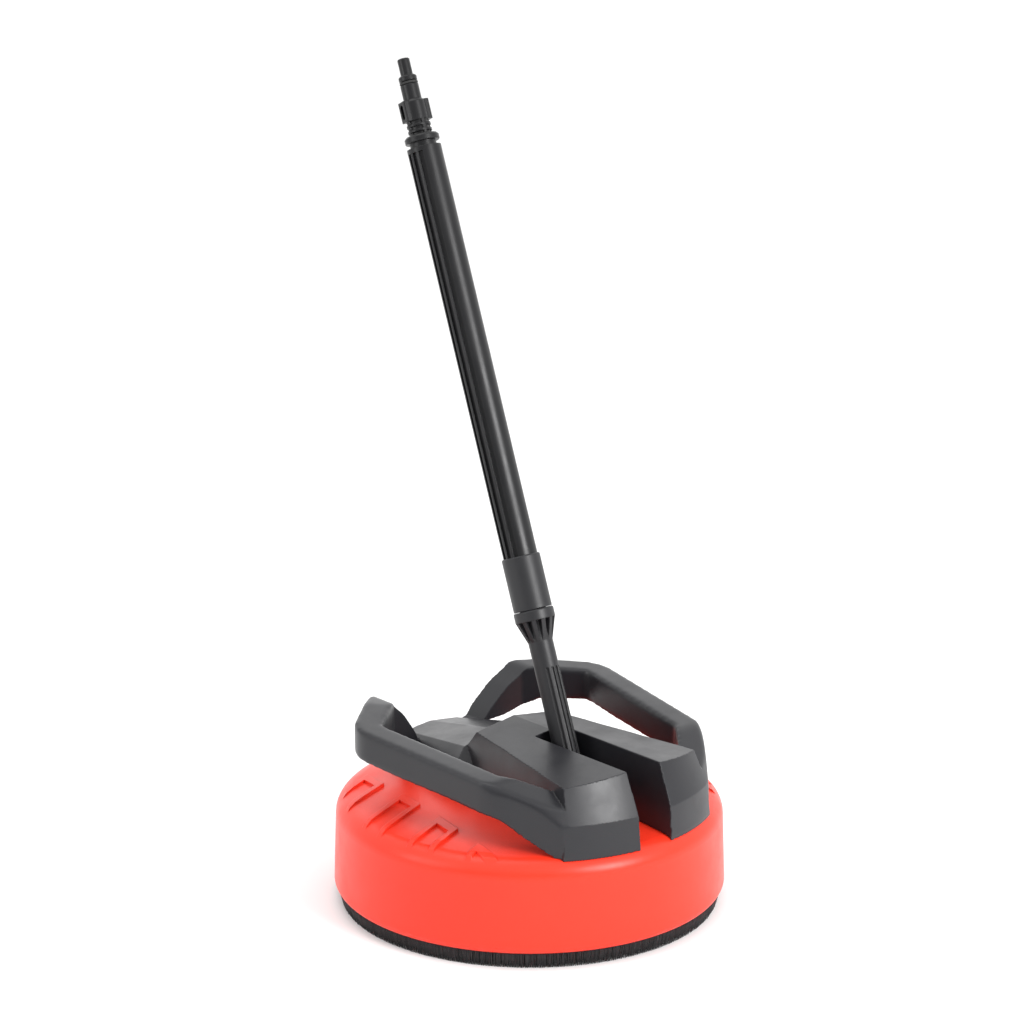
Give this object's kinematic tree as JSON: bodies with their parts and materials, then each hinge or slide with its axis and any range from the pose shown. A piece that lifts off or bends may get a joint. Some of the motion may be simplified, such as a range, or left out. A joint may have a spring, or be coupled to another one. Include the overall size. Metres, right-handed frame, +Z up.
{
  "type": "surface cleaner",
  "caption": "Round pressure-washer surface cleaner: red hood with brush skirt, dark two-legged cover with hand loops, spinning spray arm and a tilting fluted lance with bayonet inlet.",
  "frame": {"origin": "on the floor below the rotor's axis, at the centre of the hood", "axes": "+Z up along the rotor's axis, -Y toward the user and the open end of the lance slot, the part is mirror symmetric about X=0"},
  "size_m": [0.2896, 0.2919, 0.6065],
  "materials": {
    "hood_red": "semi-gloss moulded",
    "cover_grey": "satin moulded",
    "insert_grey": "satin moulded",
    "lance_black": "satin moulded",
    "carrier_black": "matt moulded",
    "bristle_black": "nylon bristles",
    "manifold_black": "glass-filled nylon",
    "seal_rubber": "matt",
    "screw_steel": "zinc plated",
    "bearing_steel": "polished",
    "arm_steel": "brushed",
    "brass": "turned"
  },
  "bodies": {
    "base": {"hood": "hood_red", "top_cover": "cover_grey", "handle_insert_left": "insert_grey", "handle_insert_right": "insert_grey", "brush_carrier": "carrier_black", "brush_bristles": "bristle_black", "carrier_screws": "screw_steel", "cover_screws": "screw_steel", "handle_screws": "screw_steel", "manifold_body": "manifold_black", "manifold_plug": "brass", "manifold_screws": "screw_steel", "shaft_seal": "seal_rubber", "seal_backup_ring": "brass", "bearing_retainer": "manifold_black", "retainer_screws": "screw_steel", "outer_spacer": "arm_steel", "bearing_outer_upper": "bearing_steel", "bearing_outer_lower": "bearing_steel"},
    "rotor": {"rotor_shaft": "arm_steel", "circlip": "screw_steel", "inner_spacer": "arm_steel", "bearing_inner_upper": "bearing_steel", "bearing_inner_lower": "bearing_steel", "bearing_balls": "bearing_steel", "bearing_cages": "brass", "rotor_hub": "manifold_black", "hub_nut": "screw_steel", "spray_arm_left": "arm_steel", "spray_arm_right": "arm_steel", "nozzle_body_left": "manifold_black", "nozzle_body_right": "manifold_black", "nozzle_tip_left": "brass", "nozzle_tip_right": "brass"},
    "lower_lance": {"lower_pipe": "lance_black", "spigot_orings": "seal_rubber", "trunnion_left": "brass", "trunnion_right": "brass", "trunnion_orings": "seal_rubber"},
    "upper_lance": {"coupling_collar": "lance_black", "lance_tube": "lance_black", "inner_pipe": "manifold_black", "inlet_connector": "lance_black", "inlet_oring": "seal_rubber"}
  },
  "joints": [
    {"name": "lance_tilt", "type": "hinge", "parent": "base", "child": "lower_lance", "pos_m": [0, -0.0504, 0.097], "axis": [1, 0, 0], "range_deg": [0, 100]},
    {"name": "rotor_spin", "type": "hinge", "parent": "base", "child": "rotor", "pos_m": [0, 0, 0.03], "axis": [0, 0, 1], "continuous": true},
    {"name": "upper_lance_twist", "type": "hinge", "parent": "lower_lance", "child": "upper_lance", "pos_m": [0, -0.00057, 0.22783], "axis": [0, 0.3559, 0.9345], "range_deg": [-60, 0]}
  ]
}
